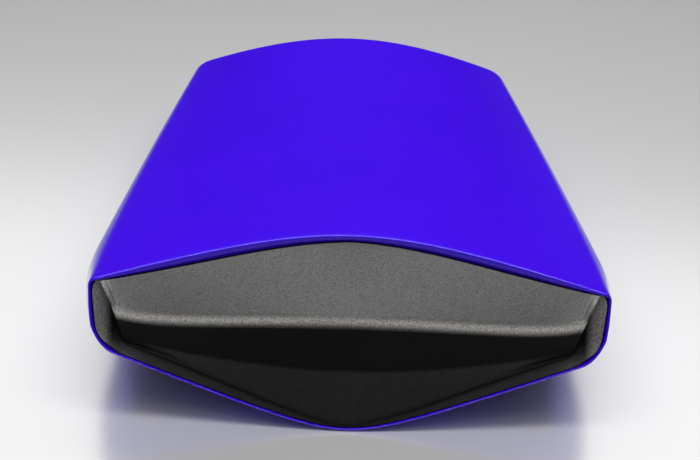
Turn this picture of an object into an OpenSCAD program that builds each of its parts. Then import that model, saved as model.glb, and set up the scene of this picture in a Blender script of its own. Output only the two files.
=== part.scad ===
// Seat cowl for a sports motorcycle: a painted shell that takes the place of the pillion seat,
// with a grained pad in its front opening and the latch parts under it.
// X points right, Y to the tail and Z up, in millimetres. The origin is the middle of the footprint.

/* [Shell plan] */
// Width between the two creases at the front
front_w = 285; // [250:1:310]
// Width between the two creases at the rear
rear_w = 222; // [190:1:250]
// Length of a crease from its front corner to its rear corner
crease_l = 300; // [270:1:330]
// How far the sides bow out of a straight taper, at mid length
side_bow = 4.5; // [0:0.5:8]
// How far the front edge of the roof is set back in the middle
arch_back = 20; // [12:1:26]
// How far the rear edge runs past its corners in the middle
rear_bulge = 5.5; // [2:0.5:12]
// Reach of the rounded rear corners along each edge, in plan
corner_reach = 10; // [9:0.5:14]

/* [Shell height] */
// Height of the crease at the front
crease_front_z = 77; // [70:1:86]
// Height of the crease at the rear
crease_rear_z = 52; // [44:1:60]
// How far the crease sags below a straight line, at mid length
crease_dip = 4.5; // [0:0.5:8]
// Rise of the roof above the creases, at the front
crown_front = 23; // [16:1:28]
// Rise of the roof above the creases, at the rear
crown_rear = 22; // [14:1:26]
// Height of the lower front corners of the opening
corner_z = 43; // [38:1:47]
// How far the lower front corners stand ahead of the crease corners
corner_ahead = 16; // [8:1:20]
// How far the keel's tip stands ahead of the lower front corners
keel_ahead = 12; // [6:1:18]

/* [Shell section] */
// Wall of the moulding
wall = 3; // [2.5:0.1:3.4]
// Reach of the rounding along the crease
crease_reach = 4; // [4:0.5:7]
// Pull of the curve that swells the side walls; they stand out by half of it
side_swell = 25; // [10:1:30]
// Length over which the side walls swell, behind the front edge
swell_run = 60; // [45:5:90]
// Pull of the same curve at the rear corners
corner_swell = 10; // [4:0.5:13]
// Pull of the curve that swells the rear wall
rear_swell = 5; // [2:0.5:10]
// How far the lower edge lies inside the crease at the front corners, in plan
front_tuck = 5.5; // [2:0.5:7]
// How far the lower edge lies inside the crease at the rear, in plan
rim_tuck = 1.5; // [0:0.5:4]
// Reach of the rolled lower edge at the front corners
front_roll = 12; // [9:0.5:13]
// Reach of the rolled lower edge at the rear
rear_roll = 4; // [3.5:0.5:5]
// Depth of the keel strip that closes the opening from below
keel_depth = 26; // [22:1:32]
// Rounding of the front edge
edge_reach = 1; // [0.8:0.1:1.2]
// Width of the front edge on the keel and at the corners, where a step takes the pad's rim
lip_min = 1.4; // [1.4:0.1:2]
// Width of the front return in the middle of the roof
lip_mid = 3.2; // [3:0.1:4]
// Width of the front return halfway to the corners
lip_max = 5; // [3.5:0.1:5.5]

/* [Pad] */
// Wall of the pad moulding
pad_wall = 2.5; // [2:0.1:3]
// Seam between the pad and the front return
pad_gap = 0.5; // [0.4:0.1:0.8]
// How far the pad's rim lies behind the return's face
pad_recess = 0.8; // [0.2:0.1:1.5]
// Reach of the pad's ridge ahead of the opening, in the middle
ridge_out_mid = 33; // [26:1:36]
// Reach of the pad's ridge ahead of the opening, at its ends
ridge_out_end = 12; // [8:1:14]
// Width of the sloping rim at the pad's two ends
rim_flat_end = 7; // [5:0.5:9]
// Width of the sloping rim at the pad's lower tip
rim_flat_tip = 2; // [1.5:0.5:4]
// How far the valley inside the rim lies behind the rim's edge, at the two ends
rim_sink = 3.5; // [1:0.5:4.5]

/* [Pad fixing] */
// Place of the inner fixings to each side of the middle
fix_in_x = 42; // [34:1:50]
// Place of the outer fixings to each side of the middle
fix_out_x = 98; // [92:1:104]
// Height of a fixing above the keel strip's outer face
fix_rise = 16; // [14:0.5:20]
// Width of the lugs on the keel strip
lug_w = 14; // [12:0.5:16]
// Thickness of the lugs
lug_t = 3; // [2.5:0.1:4]
// Diameter of the pad's posts
post_d = 8; // [7:0.5:9]
// Thread diameter of the pad screws
pad_screw_d = 4; // [3:0.5:4.5]

/* [Striker] */
// Place of the striker's middle behind the front crease corners
striker_y = 62; // [55:1:72]
// Spacing of the two striker bosses
striker_pitch = 62; // [56:1:66]
// Height of the striker bosses' lower faces
striker_seat_z = 46; // [40:1:52]
// Diameter of the bolted bosses
boss_d = 14; // [13:0.5:15]
// Thickness of the steel plates
plate_t = 3; // [2:0.5:4]
// Width of the striker plate from front to rear
striker_w = 26; // [24:1:30]
// Diameter of the striker bar
bar_d = 8; // [6:0.5:9]
// Spacing of the striker bar's two legs
bar_pitch = 30; // [26:1:34]
// Height of the striker bar's lower side
bar_bottom_z = 12; // [9:1:16]

/* [Rear tongue] */
// Distance of the tongue's bosses ahead of the rear corners
tongue_ahead = 64; // [60:1:72]
// Spacing of the two tongue bosses
tongue_pitch = 50; // [44:1:56]
// Height of the tongue bosses' lower faces
tongue_seat_z = 30; // [26:1:34]
// Width of the tongue
tongue_w = 34; // [28:1:38]
// Reach of the tongue behind its bosses
tongue_reach = 48; // [40:1:52]
// Step down from the tongue's foot to its blade
tongue_drop = 10; // [6:1:14]

/* [Dampers] */
// Place of the rubber dampers to each side of the middle
damper_x = 62; // [54:1:66]
// Place of the front dampers behind the front crease corners
damper_front_y = 100; // [92:1:110]
// Place of the rear dampers behind the front crease corners
damper_rear_y = 196; // [186:1:206]
// Diameter of a damper
damper_d = 20; // [17:1:24]
// Height of a damper below its boss
damper_h = 12; // [8:1:14]
// Height of the dampers' lower faces
damper_foot_z = 22; // [18:1:26]

/* [Hardware] */
// Thread diameter of the bolts
bolt_d = 6; // [5:0.5:6]
// Length of the threads below the bolts' heads
bolt_l = 14; // [12:1:16]
// Radial clearance of a bolt or screw in its hole
hole_play = 0.3; // [0.2:0.1:0.5]

/* [Hidden] */

paint = [0.29, 0.08, 0.93];
moulding = [0.16, 0.16, 0.16];
steel = [0.62, 0.63, 0.65];
zinc = [0.72, 0.73, 0.74];
brass = [0.75, 0.6, 0.3];
rubber = [0.09, 0.09, 0.09];

front_bend = 0.52;
rear_bend = 1.08;
keel_bend = 0.23;
roof_rows = 12;
corner_steps = 4;
rear_columns = 9;
fillet_steps = 3;
wall_steps = 5;
roll_steps = 3;
levels = fillet_steps + wall_steps + roll_steps;
strip_rows = 2;
probe = 0.05;

rim_play = 0.2;
lip_depth = pad_recess + pad_wall + rim_play;
tongue_y = crease_l - tongue_ahead;
tuck_power = 4;

rib_t = 2.5;
rib_h = 12;
rib_clear = 14;
rib_steps = 6;
lug_set_back = 15;
ridge_mid = 0.225;
ridge_end = 0.3;
form_mid = 0.6;
form_end = 0.76;
form_out_mid = 0.42;
form_out_end = 0.1;
end_face = 4;
top_share = 0.985;
flat_power = 0.8;
ridge_reach = 4;
form_reach = 4;
rim_reach = 2.5;
reach_share = 0.45;
ridge_power = 1.1;
end_power = 12;
face_columns = 9;
pad_screw_l = 12;
washer_t = 1.2;
washer_share = 2.2;
head_share = 1.9;
bolt_head_share = 0.7;
screw_head_share = 0.55;
socket_share = 0.9;
socket_deep_share = 0.6;
crank_share = 0.4;
plate_edge = 4;
fold_clear = 2;
weld = 2;
damper_edge = 1.5;
damper_waist = 1;
thread_play = 0.1;
insert_d = 8;
insert_l = 12;
flange_h = 7;
stem_l = 9;

corner_y = -corner_ahead;
corner_start_y = crease_l - corner_reach;
corner_end_x = rear_w / 2 - corner_reach;
stations = roof_rows + corner_steps + rear_columns;
mid_corner = roof_rows + corner_steps / 2;
roof_columns = 2 * (stations - mid_corner);
keel_slope = atan(corner_z / (front_w / 2));
middle_y = (max([for (l = [0 : levels]) rear_section(2, l).y]) + front_y(levels) - keel_ahead) / 2;

function mix(a, b, t) = a + (b - a) * t;
function clamp(v) = min(1, max(0, v));
function unit(v) = v / norm(v);
function bezier(a, b, c, t) = (1 - t) * (1 - t) * a + 2 * t * (1 - t) * b + t * t * c;
function flip(p) = [-p.x, p.y, p.z];

// A rise from 0 in the middle to 1 at the edge: a tent whose ridge is rounded by its bend
function tent(s, bend) = (sqrt(s * s + bend * bend) - bend) / (sqrt(1 + bend * bend) - bend);

// The plan and the height of the crease, and the crowned roof between the creases
function half_w(y) = let(u = y / crease_l) mix(front_w, rear_w, u) / 2 + 4 * side_bow * u * (1 - u);
function crease_z(y) = let(u = y / crease_l)
    mix(crease_front_z, crease_rear_z, u) - 4 * crease_dip * u * (1 - u);
function roof_z(x, y) = let(u = y / crease_l, bend = mix(front_bend, rear_bend, u))
    crease_z(y) + mix(crown_front, crown_rear, u) * (1 - tent(x / half_w(y), bend));
function roof_normal(x, y) = unit([roof_z(x - probe, y) - roof_z(x + probe, y),
                                   roof_z(x, y - probe) - roof_z(x, y + probe), 2 * probe]);
function on_roof(x, y, inset) = [x, y, roof_z(x, y)] - inset * roof_normal(x, y);
function arch_y(s) = arch_back * (1 - tent(s, front_bend));
function rear_y(x) = crease_l + rear_bulge * (1 - tent(2 * x / rear_w, rear_bend));

// The lower edge falls from the front corners to the floor at the rear
function to_rear(y) = clamp((y - corner_y) / (corner_start_y - corner_y));
function rim_z(y) = corner_z * pow(1 - to_rear(y), 1.5);
function tuck(y) = mix(rim_tuck, front_tuck, pow(1 - to_rear(y), tuck_power));
function roll(y) = mix(front_roll, rear_roll, to_rear(y));
function roll_slope(y) = keel_slope * pow(1 - to_rear(y), 2);

// One section of the skirt, from the roof over the crease, down the wall and under its rolled edge.
// at is the place on the crease in plan, out the direction away from the shell
function section(at, out, swell, level) =
    let(out3 = [out.x, out.y, 0], crease = [at.x, at.y, roof_z(at.x, at.y)],
        inner = at - crease_reach * out, start = [inner.x, inner.y, roof_z(inner.x, inner.y)],
        foot = [at.x, at.y, rim_z(at.y)] - tuck(at.y) * out3,
        belly = (crease + foot) / 2 + swell * out3, h = crease.z - foot.z,
        first = crease_reach / h, last = 1 - roll(at.y) / h, slope = roll_slope(at.y),
        tip = foot - roll(at.y) * (cos(slope) * out3 + [0, 0, sin(slope)]), low = levels - roll_steps)
    level <= fillet_steps ? bezier(start, crease, bezier(crease, belly, foot, first), level / fillet_steps)
    : level <= low ? bezier(crease, belly, foot, mix(first, last, (level - fillet_steps) / wall_steps))
    : bezier(bezier(crease, belly, foot, last), foot, tip, (level - low) / roll_steps);

// The side walls start straight at the front edge, which leans forward, and swell behind it
function swell_at(y, level) =
    let(low = (level - fillet_steps / 2) / (levels - roll_steps - fillet_steps / 2),
        behind = y + corner_ahead * clamp(low))
    mix(side_swell, corner_swell, to_rear(y)) * sin(90 * clamp(behind / swell_run));

// The skirt's path in plan: along the side by its own y, then round the corner and along the rear
function side_section(y, level) = section([half_w(y), y], [1, 0], swell_at(y, level), level);
function corner_at(u) = bezier([half_w(corner_start_y), corner_start_y], [rear_w / 2, crease_l],
                               [corner_end_x, rear_y(corner_end_x)], u);
function rear_section(w, level) = let(x = corner_end_x * (2 - w))
    w <= 1 ? section(corner_at(w), [cos(90 * w), sin(90 * w)], mix(corner_swell, rear_swell, w), level)
           : section([x, rear_y(x)], [0, 1], rear_swell, level);

function side_normal(y, level) =
    unit(cross(side_section(y, level + probe) - side_section(y, level - probe),
               side_section(y + probe, level) - side_section(y - probe, level)));
function rear_normal(w, level) =
    unit(cross(rear_section(w, level + probe) - rear_section(w, level - probe),
               rear_section(w + probe, level) - rear_section(w - probe, level)));
function on_side(y, level, inset) = let(p = side_section(y, level))
    level == 0 ? on_roof(p.x, y, inset) : p - inset * side_normal(y, level);
function on_rear(w, level, inset) = let(p = rear_section(w, level))
    level == 0 ? on_roof(p.x, p.y, inset) : p - inset * rear_normal(w, level);

// The front edge leans forward from the crease corner to the lower corner
function front_y(level) = let(p = side_section(0, level))
    corner_y * max(0, crease_z(0) - p.z) / (crease_z(0) - corner_z);

// Stations run from the front along the side, round the corner and to the middle of the rear.
// deep is the first station's distance behind the front edge
function strip_y(k, level) = front_y(level) + keel_depth * k / strip_rows;
function side_y(k, level, deep) =
    k == 0 ? front_y(level) + deep
    : k <= strip_rows ? strip_y(k, level)
    : mix(strip_y(strip_rows, level), corner_start_y, (k - strip_rows) / (roof_rows - strip_rows));
function rear_w_at(k) = k <= roof_rows + corner_steps ? (k - roof_rows) / corner_steps
                        : 1 + (k - roof_rows - corner_steps) / rear_columns;
function skirt(k, level, inset, deep) =
    k <= roof_rows ? on_side(side_y(k, level, deep), level, inset) : on_rear(rear_w_at(k), level, inset);

// The roof's columns end on the rear stations, its rows on the side stations
function column_station(j) = let(half = roof_columns / 2) stations - abs(j - half);
function column_s(j) = let(edge = skirt(mid_corner, 0, 0, 0), p = skirt(column_station(j), 0, 0, 0))
    (j < roof_columns / 2 ? -1 : 1) * p.x / edge.x;
function mirrored(j, p) = j < roof_columns / 2 ? flip(p) : p;
function arch_point(s, inset, deep) =
    let(y = arch_y(s) + deep) on_roof(s * (half_w(y) - crease_reach), y, inset);
function roof_point(k, j, inset, deep) =
    j == 0 || j == roof_columns ? mirrored(j, skirt(k, 0, inset, deep))
    : k == mid_corner ? mirrored(j, skirt(column_station(j), 0, inset, deep))
    : k == 0 ? arch_point(column_s(j), inset, deep)
    : let(side = skirt(k, 0, 0, 0), end = skirt(mid_corner, 0, 0, 0), s = column_s(j),
          rear = skirt(column_station(j), 0, 0, 0), y = mix(arch_y(s), rear.y, side.y / end.y))
      on_roof(s * side.x, y, inset);

// The keel strip spans the two lower corners; a runs from -1 on the left to 1 on the right
function keel_point(a, edge, tip_z) = let(t = tent(a, keel_bend))
    [a * edge.x, edge.y - keel_ahead * (1 - t), mix(tip_z, edge.z, t)];
function on_keel(a, k, inset, deep) = keel_point(a, skirt(k, levels, inset, deep), inset);
function strip_at(a, deep, inset) =
    keel_point(a, on_side(front_y(levels) + deep, levels, inset), inset);

// The opening's edge as one closed loop: keel, right side, arch and left side
keel_columns = 9;
function lip_w(s) = mix(mix(lip_mid, lip_min, s * s), lip_max, sin(180 * abs(s)));
function ring(lip_share, inset, deep) =
    let(low = mix(inset, lip_min, lip_share), side = function(l) on_side(front_y(l) + deep, l, low),
        keel = function(a) strip_at(a / keel_columns, deep, low))
    concat([for (a = [0 : keel_columns - 1]) keel(a)], [for (l = [levels : -1 : 1]) side(l)],
           [for (j = [roof_columns : -1 : 0]) let(s = column_s(j))
               s == 1 ? side(0) : s == -1 ? flip(side(0))
               : arch_point(s, mix(inset, lip_w(s), lip_share), deep)],
           [for (l = [1 : levels]) flip(side(l))],
           [for (a = [keel_columns - 1 : -1 : 0]) flip(keel(a))]);

// A grid of points as a patch of a closed surface; turned patches face the other way
function cells(first, rows, columns, turned) =
    [for (i = [0 : rows - 2], j = [0 : columns - 2])
        let(a = first + i * columns + j, b = a + 1, c = a + columns, d = c + 1)
        each turned ? [[a, b, c], [b, d, c]] : [[a, c, b], [b, c, d]]];
function sizes_before(patches, n) = n == 0 ? 0
    : sizes_before(patches, n - 1) + len(patches[n - 1][0]) * len(patches[n - 1][0][0]);
module closed(patches) {
    points = [for (p = patches, row = p[0]) each row];
    faces = [for (n = [0 : len(patches) - 1])
        each cells(sizes_before(patches, n), len(patches[n][0]), len(patches[n][0][0]), patches[n][1])];
    polyhedron(points, faces);
}

function skirt_patch(inset, deep) =
    [for (k = [0 : stations]) [for (l = [0 : levels]) skirt(k, l, inset, deep)]];
function flipped(patch) = [for (row = patch) [for (p = row) flip(p)]];
function roof_patch(inset, deep) =
    [for (k = [0 : mid_corner]) [for (j = [0 : roof_columns]) roof_point(k, j, inset, deep)]];
function keel_patch(inset, deep) = [for (k = [0 : strip_rows])
    [for (a = [-keel_columns : keel_columns]) on_keel(a / keel_columns, k, inset, deep)]];
lip_rows = [[0, 0, edge_reach], [0, 0.3 * edge_reach, 0.3 * edge_reach], [0, edge_reach, 0], [1, 0, 0],
            [1, 0, lip_depth], [0, wall, lip_depth + lip_max - lip_min]];
inner_deep = lip_depth + lip_max - lip_min;

module shell_body() {
    outer = skirt_patch(0, edge_reach);
    inner = skirt_patch(wall, inner_deep);
    rim = [for (skin = [outer, inner]) [for (k = [strip_rows : stations]) skin[k][levels]]];
    keel_out = keel_patch(0, edge_reach);
    keel_in = keel_patch(wall, inner_deep);
    closed([[roof_patch(0, edge_reach), false], [roof_patch(wall, inner_deep), true],
            [outer, false], [flipped(outer), true], [inner, true], [flipped(inner), false],
            [rim, true], [flipped(rim), false], [keel_out, true], [keel_in, false],
            [[keel_out[strip_rows], keel_in[strip_rows]], true],
            [[for (r = lip_rows) ring(r[0], r[1], r[2])], false]]);
}

// Pairs of bosses hang from the roof, each pair with a cross rib: place to the side, place along,
// seat height and lowest height of the rib
boss_pairs = [[striker_pitch / 2, striker_y, striker_seat_z, striker_seat_z + rib_clear],
              [tongue_pitch / 2, tongue_y, tongue_seat_z, tongue_seat_z + rib_clear],
              [damper_x, damper_front_y, damper_foot_z + damper_h, shallow_z(damper_front_y)],
              [damper_x, damper_rear_y, damper_foot_z + damper_h, shallow_z(damper_rear_y)]];
function mid_wall(x, y) = roof_z(x, y) - wall / 2;
function shallow_z(y) = roof_z(damper_x, y) - wall - rib_h;

module hung_boss(x, y, seat_z) translate([x, y, seat_z]) cylinder(h = mid_wall(x, y) - seat_z, d = boss_d);
module cross_rib(x, y, low_z) translate([0, y + rib_t / 2, 0]) rotate([90, 0, 0]) linear_extrude(rib_t)
    polygon([[x, low_z], each [for (i = [rib_steps : -1 : -rib_steps])
        [x * i / rib_steps, mid_wall(x * i / rib_steps, y)]], [-x, low_z]]);
module long_rib(x, from_y, to_y) translate([x - rib_t / 2, 0, 0]) rotate([90, 0, 90]) linear_extrude(rib_t)
    polygon([each [for (i = [0 : rib_steps]) let(y = mix(from_y, to_y, i / rib_steps)) [y, mid_wall(x, y)]],
             each [for (i = [rib_steps : -1 : 0]) let(y = mix(from_y, to_y, i / rib_steps))
                 [y, roof_z(x, y) - wall - rib_h]]]);

// The keel strip's outer face at a place x and a depth behind its front edge, and the lugs that
// stand on it for the pad's screws
function keel_at(x, deep) = let(edge = on_side(front_y(levels) + deep, levels, 0))
    keel_point(x / edge.x, edge, 0);
function fixing_z(x) = keel_at(x, lug_set_back).z + fix_rise;
function lug_front_y(x) = keel_at(x, 0).y + lug_set_back;
fixing_places = [-fix_out_x, -fix_in_x, fix_in_x, fix_out_x];
module lug(x) translate([x, lug_front_y(x) + lug_t, 0]) rotate([90, 0, 0]) linear_extrude(lug_t) {
    polygon([for (w = [-lug_w / 2, 0, lug_w / 2]) [w, keel_at(x + w, lug_set_back).z + wall / 2],
             [lug_w / 2, fixing_z(x)], [-lug_w / 2, fixing_z(x)]]);
    translate([0, fixing_z(x)]) circle(d = lug_w);
}

module cowl_shell() color(paint) translate([0, -middle_y, 0]) difference() {
    union() {
        shell_body();
        for (pair = boss_pairs) {
            for (side = [-1, 1]) hung_boss(side * pair[0], pair[1], pair[2]);
            cross_rib(pair[0], pair[1], pair[3]);
        }
        for (side = [-1, 1]) long_rib(side * striker_pitch / 2, striker_y, tongue_y);
        for (x = fixing_places) lug(x);
    }
    for (pair = boss_pairs, side = [-1, 1])
        translate([side * pair[0], pair[1], pair[2] - 1]) cylinder(h = insert_l + 3, d = insert_d);
    for (x = fixing_places) translate([x, lug_front_y(x) - 1, fixing_z(x)]) rotate([-90, 0, 0])
        cylinder(h = lug_t + 2, d = pad_screw_d + 2 * hole_play);
}

// The pad fills the opening with its own rim, and its ridge stands out ahead of it
pad_inset = lip_min + pad_gap;
function pad_top(s) = arch_point(s, lip_w(s) + pad_gap, pad_recess);
function pad_bottom(s) = strip_at(s, pad_recess, pad_inset);
function pad_end(f) = on_side(front_y(levels * f) + pad_recess, levels * f, pad_inset);
function pad_base(s, f) =
    let(swell = pow(abs(s), end_power) * (pad_end(f) - mix(pad_top(1), pad_bottom(1), f)))
    mix(pad_top(s), pad_bottom(s), f) + (s < 0 ? flip(swell) : swell);

flat_s = 1 - rim_flat_end / (front_w / 2);
face_s = flat_s - end_face / (front_w / 2);
function ease(t) = let(u = clamp(t)) u * u * (3 - 2 * u);
function ridge_out(a) = mix(ridge_out_mid, ridge_out_end, pow(a, ridge_power));
function down_end(a, out) = a < flat_s ? mix(out, -rim_sink, ease((a - face_s) / (flat_s - face_s)))
                                       : -rim_sink * (1 - a) / (1 - flat_s);
function top_s(s) = let(a = abs(s)) sign(s) * (a < face_s ? top_share * a / face_s
                                               : mix(top_share, 1, (a - face_s) / (1 - face_s)));
function ahead(p, reach) = [p.x, p.y - reach, p.z];
function pad_keys(s) = let(a = abs(s), out = ridge_out(a), tall = norm(pad_top(s) - pad_bottom(s)),
                           flat = 1 - mix(rim_flat_tip, rim_flat_end, pow(a, flat_power)) / tall,
                           sink = rim_sink * min(pow(a, flat_power), (1 - a) / (1 - flat_s)))
    [pad_top(top_s(s)), ahead(pad_base(s, mix(ridge_mid, ridge_end, a)), down_end(a, out)),
     ahead(pad_base(s, mix(form_mid, form_end, a)), down_end(a, out * mix(form_out_mid, form_out_end, a))),
     ahead(pad_base(s, flat), -sink), pad_base(s, 1)];
function rounded(a, b, c, reach, t) =
    bezier(b + min(reach, reach_share * norm(a - b)) * unit(a - b), b,
           b + min(reach, reach_share * norm(c - b)) * unit(c - b), t);
function pad_column(s) = let(k = pad_keys(s))
    [k[0], each [for (t = [0 : 3]) rounded(k[0], k[1], k[2], ridge_reach, t / 3)],
     each [for (t = [0 : 2]) rounded(k[1], k[2], k[3], form_reach, t / 2)],
     each [for (t = [0 : 2]) rounded(k[2], k[3], k[4], rim_reach, t / 2)], k[4]];
pad_half = [each [for (i = [0 : face_columns]) face_s * i / face_columns],
            each [for (i = [1 : 3]) mix(face_s, flat_s, i / 3)], (1 + flat_s) / 2, 1];
pad_s = [each [for (i = [len(pad_half) - 1 : -1 : 1]) -pad_half[i]], each pad_half];

function turned_grid(g) = [for (i = [0 : len(g[0]) - 1]) [for (row = g) row[i]]];
function grid_normal(g, i, j) =
    let(up = g[max(i - 1, 0)][j], down = g[min(i + 1, len(g) - 1)][j],
        left = g[i][max(j - 1, 0)], right = g[i][min(j + 1, len(g[0]) - 1)])
    unit(cross(down - up, right - left));
function column_of(g, j) = [for (row = g) row[j]];

module pad_body() {
    outer = turned_grid([for (s = pad_s) pad_column(s)]);
    last_row = len(outer) - 1;
    last = len(pad_s) - 1;
    inner = [for (i = [0 : last_row]) [for (j = [0 : last])
        outer[i][j] - pad_wall * (i == 0 || i == last_row || j == 0 || j == last
            ? [0, -1, 0] : grid_normal(outer, i, j))]];
    closed([[outer, true], [inner, false], [[outer[0], inner[0]], false],
            [[outer[last_row], inner[last_row]], true],
            [[column_of(outer, 0), column_of(inner, 0)], true],
            [[column_of(outer, last), column_of(inner, last)], false]]);
}

// The pad's outer face at a fixing, read off its profile between the ridge, the form line and the rim
function pad_face_y(x, z) = let(k = pad_keys(x / pad_bottom(1).x))
    z > k[2].z ? mix(k[1].y, k[2].y, (k[1].z - z) / (k[1].z - k[2].z))
               : mix(k[2].y, k[3].y, (k[2].z - z) / (k[2].z - k[3].z));

module front_pad() color(moulding) translate([0, -middle_y, 0]) difference() {
    union() {
        pad_body();
        for (x = fixing_places) let(start = pad_face_y(abs(x), fixing_z(x)) + pad_wall / 2)
            translate([x, start, fixing_z(x)]) rotate([-90, 0, 0])
                cylinder(h = lug_front_y(x) - start, d = post_d);
    }
    for (x = fixing_places) translate([x, lug_front_y(x) + 1, fixing_z(x)]) rotate([90, 0, 0])
        cylinder(h = pad_screw_l - lug_t - washer_t + 2, d = pad_screw_d + 2 * thread_play);
}

// A screw or bolt points up: its shank rises from the seat of its head
module socket_screw(d, l, head_d, head_h) difference() {
    union() {
        cylinder(h = l, d = d);
        translate([0, 0, -head_h]) cylinder(h = head_h, d = head_d);
    }
    translate([0, 0, -head_h - 1])
        cylinder(h = 1 + socket_deep_share * head_h, d = socket_share * d, $fn = 6);
}
module hex_bolt(d, l) {
    cylinder(h = l, d = d);
    translate([0, 0, -bolt_head_share * d]) cylinder(h = bolt_head_share * d, d = head_share * d, $fn = 6);
}
module washer(d) difference() {
    translate([0, 0, -washer_t]) cylinder(h = washer_t, d = washer_share * d);
    translate([0, 0, -washer_t - 1]) cylinder(h = washer_t + 2, d = d + 2 * hole_play);
}
module at_fixings() for (x = fixing_places)
    translate([x, lug_front_y(x) + lug_t - middle_y, fixing_z(x)]) rotate([90, 0, 0]) children();
module pad_screws() color(zinc) at_fixings() translate([0, 0, -washer_t])
    socket_screw(pad_screw_d, pad_screw_l, head_share * pad_screw_d, screw_head_share * pad_screw_d);
module pad_washers() color(zinc) at_fixings() washer(pad_screw_d);

// What is bolted to a pair of bosses is placed by the pair's seat, with z = 0 on the seat
module at_seats(pair) for (side = [-1, 1])
    translate([side * pair[0], pair[1] - middle_y, pair[2]]) children();
module threaded_insert() difference() {
    cylinder(h = insert_l, d = insert_d - 2 * thread_play);
    translate([0, 0, -1]) cylinder(h = insert_l + 2, d = bolt_d + 2 * thread_play);
}
module plate_holes(pair) at_seats(pair) translate([0, 0, -plate_t - 1])
    cylinder(h = plate_t + 2, d = bolt_d + 2 * hole_play);
module bolts(pair) at_seats(pair) translate([0, 0, -plate_t - washer_t]) hex_bolt(bolt_d, bolt_l);
module washers(pair) at_seats(pair) translate([0, 0, -plate_t]) washer(bolt_d);

striker_pair = boss_pairs[0];
tongue_pair = boss_pairs[1];
module striker_plate() color(steel) difference() {
    translate([0, striker_y - middle_y, striker_seat_z]) {
        translate([0, 0, -plate_t]) linear_extrude(plate_t) hull() for (side = [-1, 1])
            translate([side * striker_pitch / 2, 0]) offset(r = plate_edge)
                square([boss_d - 2, striker_w - 2 * plate_edge], center = true);
        for (side = [-1, 1]) translate([0, side * (striker_w - plate_t) / 2, -plate_t - flange_h / 2])
            cube([striker_pitch - boss_d, plate_t, flange_h], center = true);
    }
    plate_holes(striker_pair);
}

// A round bar bent to a U, with a weld round each leg under the plate
module striker_loop() color(steel) translate([0, striker_y - middle_y, 0]) {
    low = bar_bottom_z + bar_d / 2;
    bend_r = bar_d;
    for (side = [0, 1]) mirror([side, 0, 0]) {
        translate([bar_pitch / 2, 0, striker_seat_z - plate_t - weld])
            cylinder(h = weld, d1 = bar_d, d2 = bar_d + 2 * weld);
        translate([bar_pitch / 2, 0, low + bend_r])
            cylinder(h = striker_seat_z - plate_t - low - bend_r, d = bar_d);
        translate([bar_pitch / 2 - bend_r, 0, low + bend_r]) rotate([90, 0, 0])
            rotate_extrude(angle = -90) translate([bend_r, 0]) circle(d = bar_d);
    }
    translate([bend_r - bar_pitch / 2, 0, low]) rotate([0, 90, 0])
        cylinder(h = bar_pitch - 2 * bend_r, d = bar_d);
}
module striker_bolts() color(zinc) bolts(striker_pair);
module striker_washers() color(zinc) washers(striker_pair);
module striker_inserts() color(brass) at_seats(striker_pair) threaded_insert();

// A cranked steel tongue that hooks under the frame behind the seat
module rear_tongue() color(steel) difference() {
    translate([0, tongue_y - middle_y, tongue_seat_z - plate_t]) {
        linear_extrude(plate_t) hull() for (side = [-1, 1])
            translate([side * tongue_pitch / 2, 0]) circle(d = boss_d + 2 * plate_edge);
        foot = boss_d / 2 + fold_clear;
        translate([-tongue_w / 2, 0, 0]) rotate([90, 0, 90]) linear_extrude(tongue_w)
            polygon([[0, 0], [foot, 0], [foot + tongue_drop, -tongue_drop],
                     [tongue_reach - tongue_w / 2, -tongue_drop],
                     [tongue_reach - tongue_w / 2, plate_t - tongue_drop],
                     [foot + tongue_drop + crank_share * plate_t, plate_t - tongue_drop],
                     [foot + crank_share * plate_t, plate_t], [0, plate_t]]);
        translate([0, tongue_reach - tongue_w / 2, -tongue_drop]) cylinder(h = plate_t, d = tongue_w);
    }
    plate_holes(tongue_pair);
}
module tongue_bolts() color(zinc) bolts(tongue_pair);
module tongue_washers() color(zinc) washers(tongue_pair);
module tongue_inserts() color(brass) at_seats(tongue_pair) threaded_insert();

// A rubber buffer: a waisted foot with a stem that is pushed into its boss
module damper(side, y) color(rubber) translate([side * damper_x, y - middle_y, damper_foot_z])
    rotate_extrude() polygon([[0, 0], [damper_d / 2 - damper_edge, 0], [damper_d / 2, damper_edge],
                              [damper_d / 2 - damper_waist, damper_h / 2],
                              [damper_d / 2, damper_h - damper_edge],
                              [damper_d / 2 - damper_edge, damper_h], [insert_d / 2 - hole_play, damper_h],
                              [insert_d / 2 - hole_play, damper_h + stem_l - 1],
                              [insert_d / 2 - hole_play - 1, damper_h + stem_l], [0, damper_h + stem_l]]);
module damper_front_left() damper(-1, damper_front_y);
module damper_front_right() damper(1, damper_front_y);
module damper_rear_left() damper(-1, damper_rear_y);
module damper_rear_right() damper(1, damper_rear_y);

cowl_shell();
front_pad();
pad_screws();
pad_washers();
striker_plate();
striker_loop();
striker_bolts();
striker_washers();
striker_inserts();
rear_tongue();
tongue_bolts();
tongue_washers();
tongue_inserts();
damper_front_left();
damper_front_right();
damper_rear_left();
damper_rear_right();
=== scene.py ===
# %% [markdown]
# # A painted seat cowl, finished in Blender
# The solids of the cowl come packed, at their real size. This notebook loads them, gives them the
# surfaces of the real thing, and models again, finely, the two mouldings whose curves show most:
# the painted shell and the grained pad. Everything is in metres, in the frame of the solids.

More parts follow.
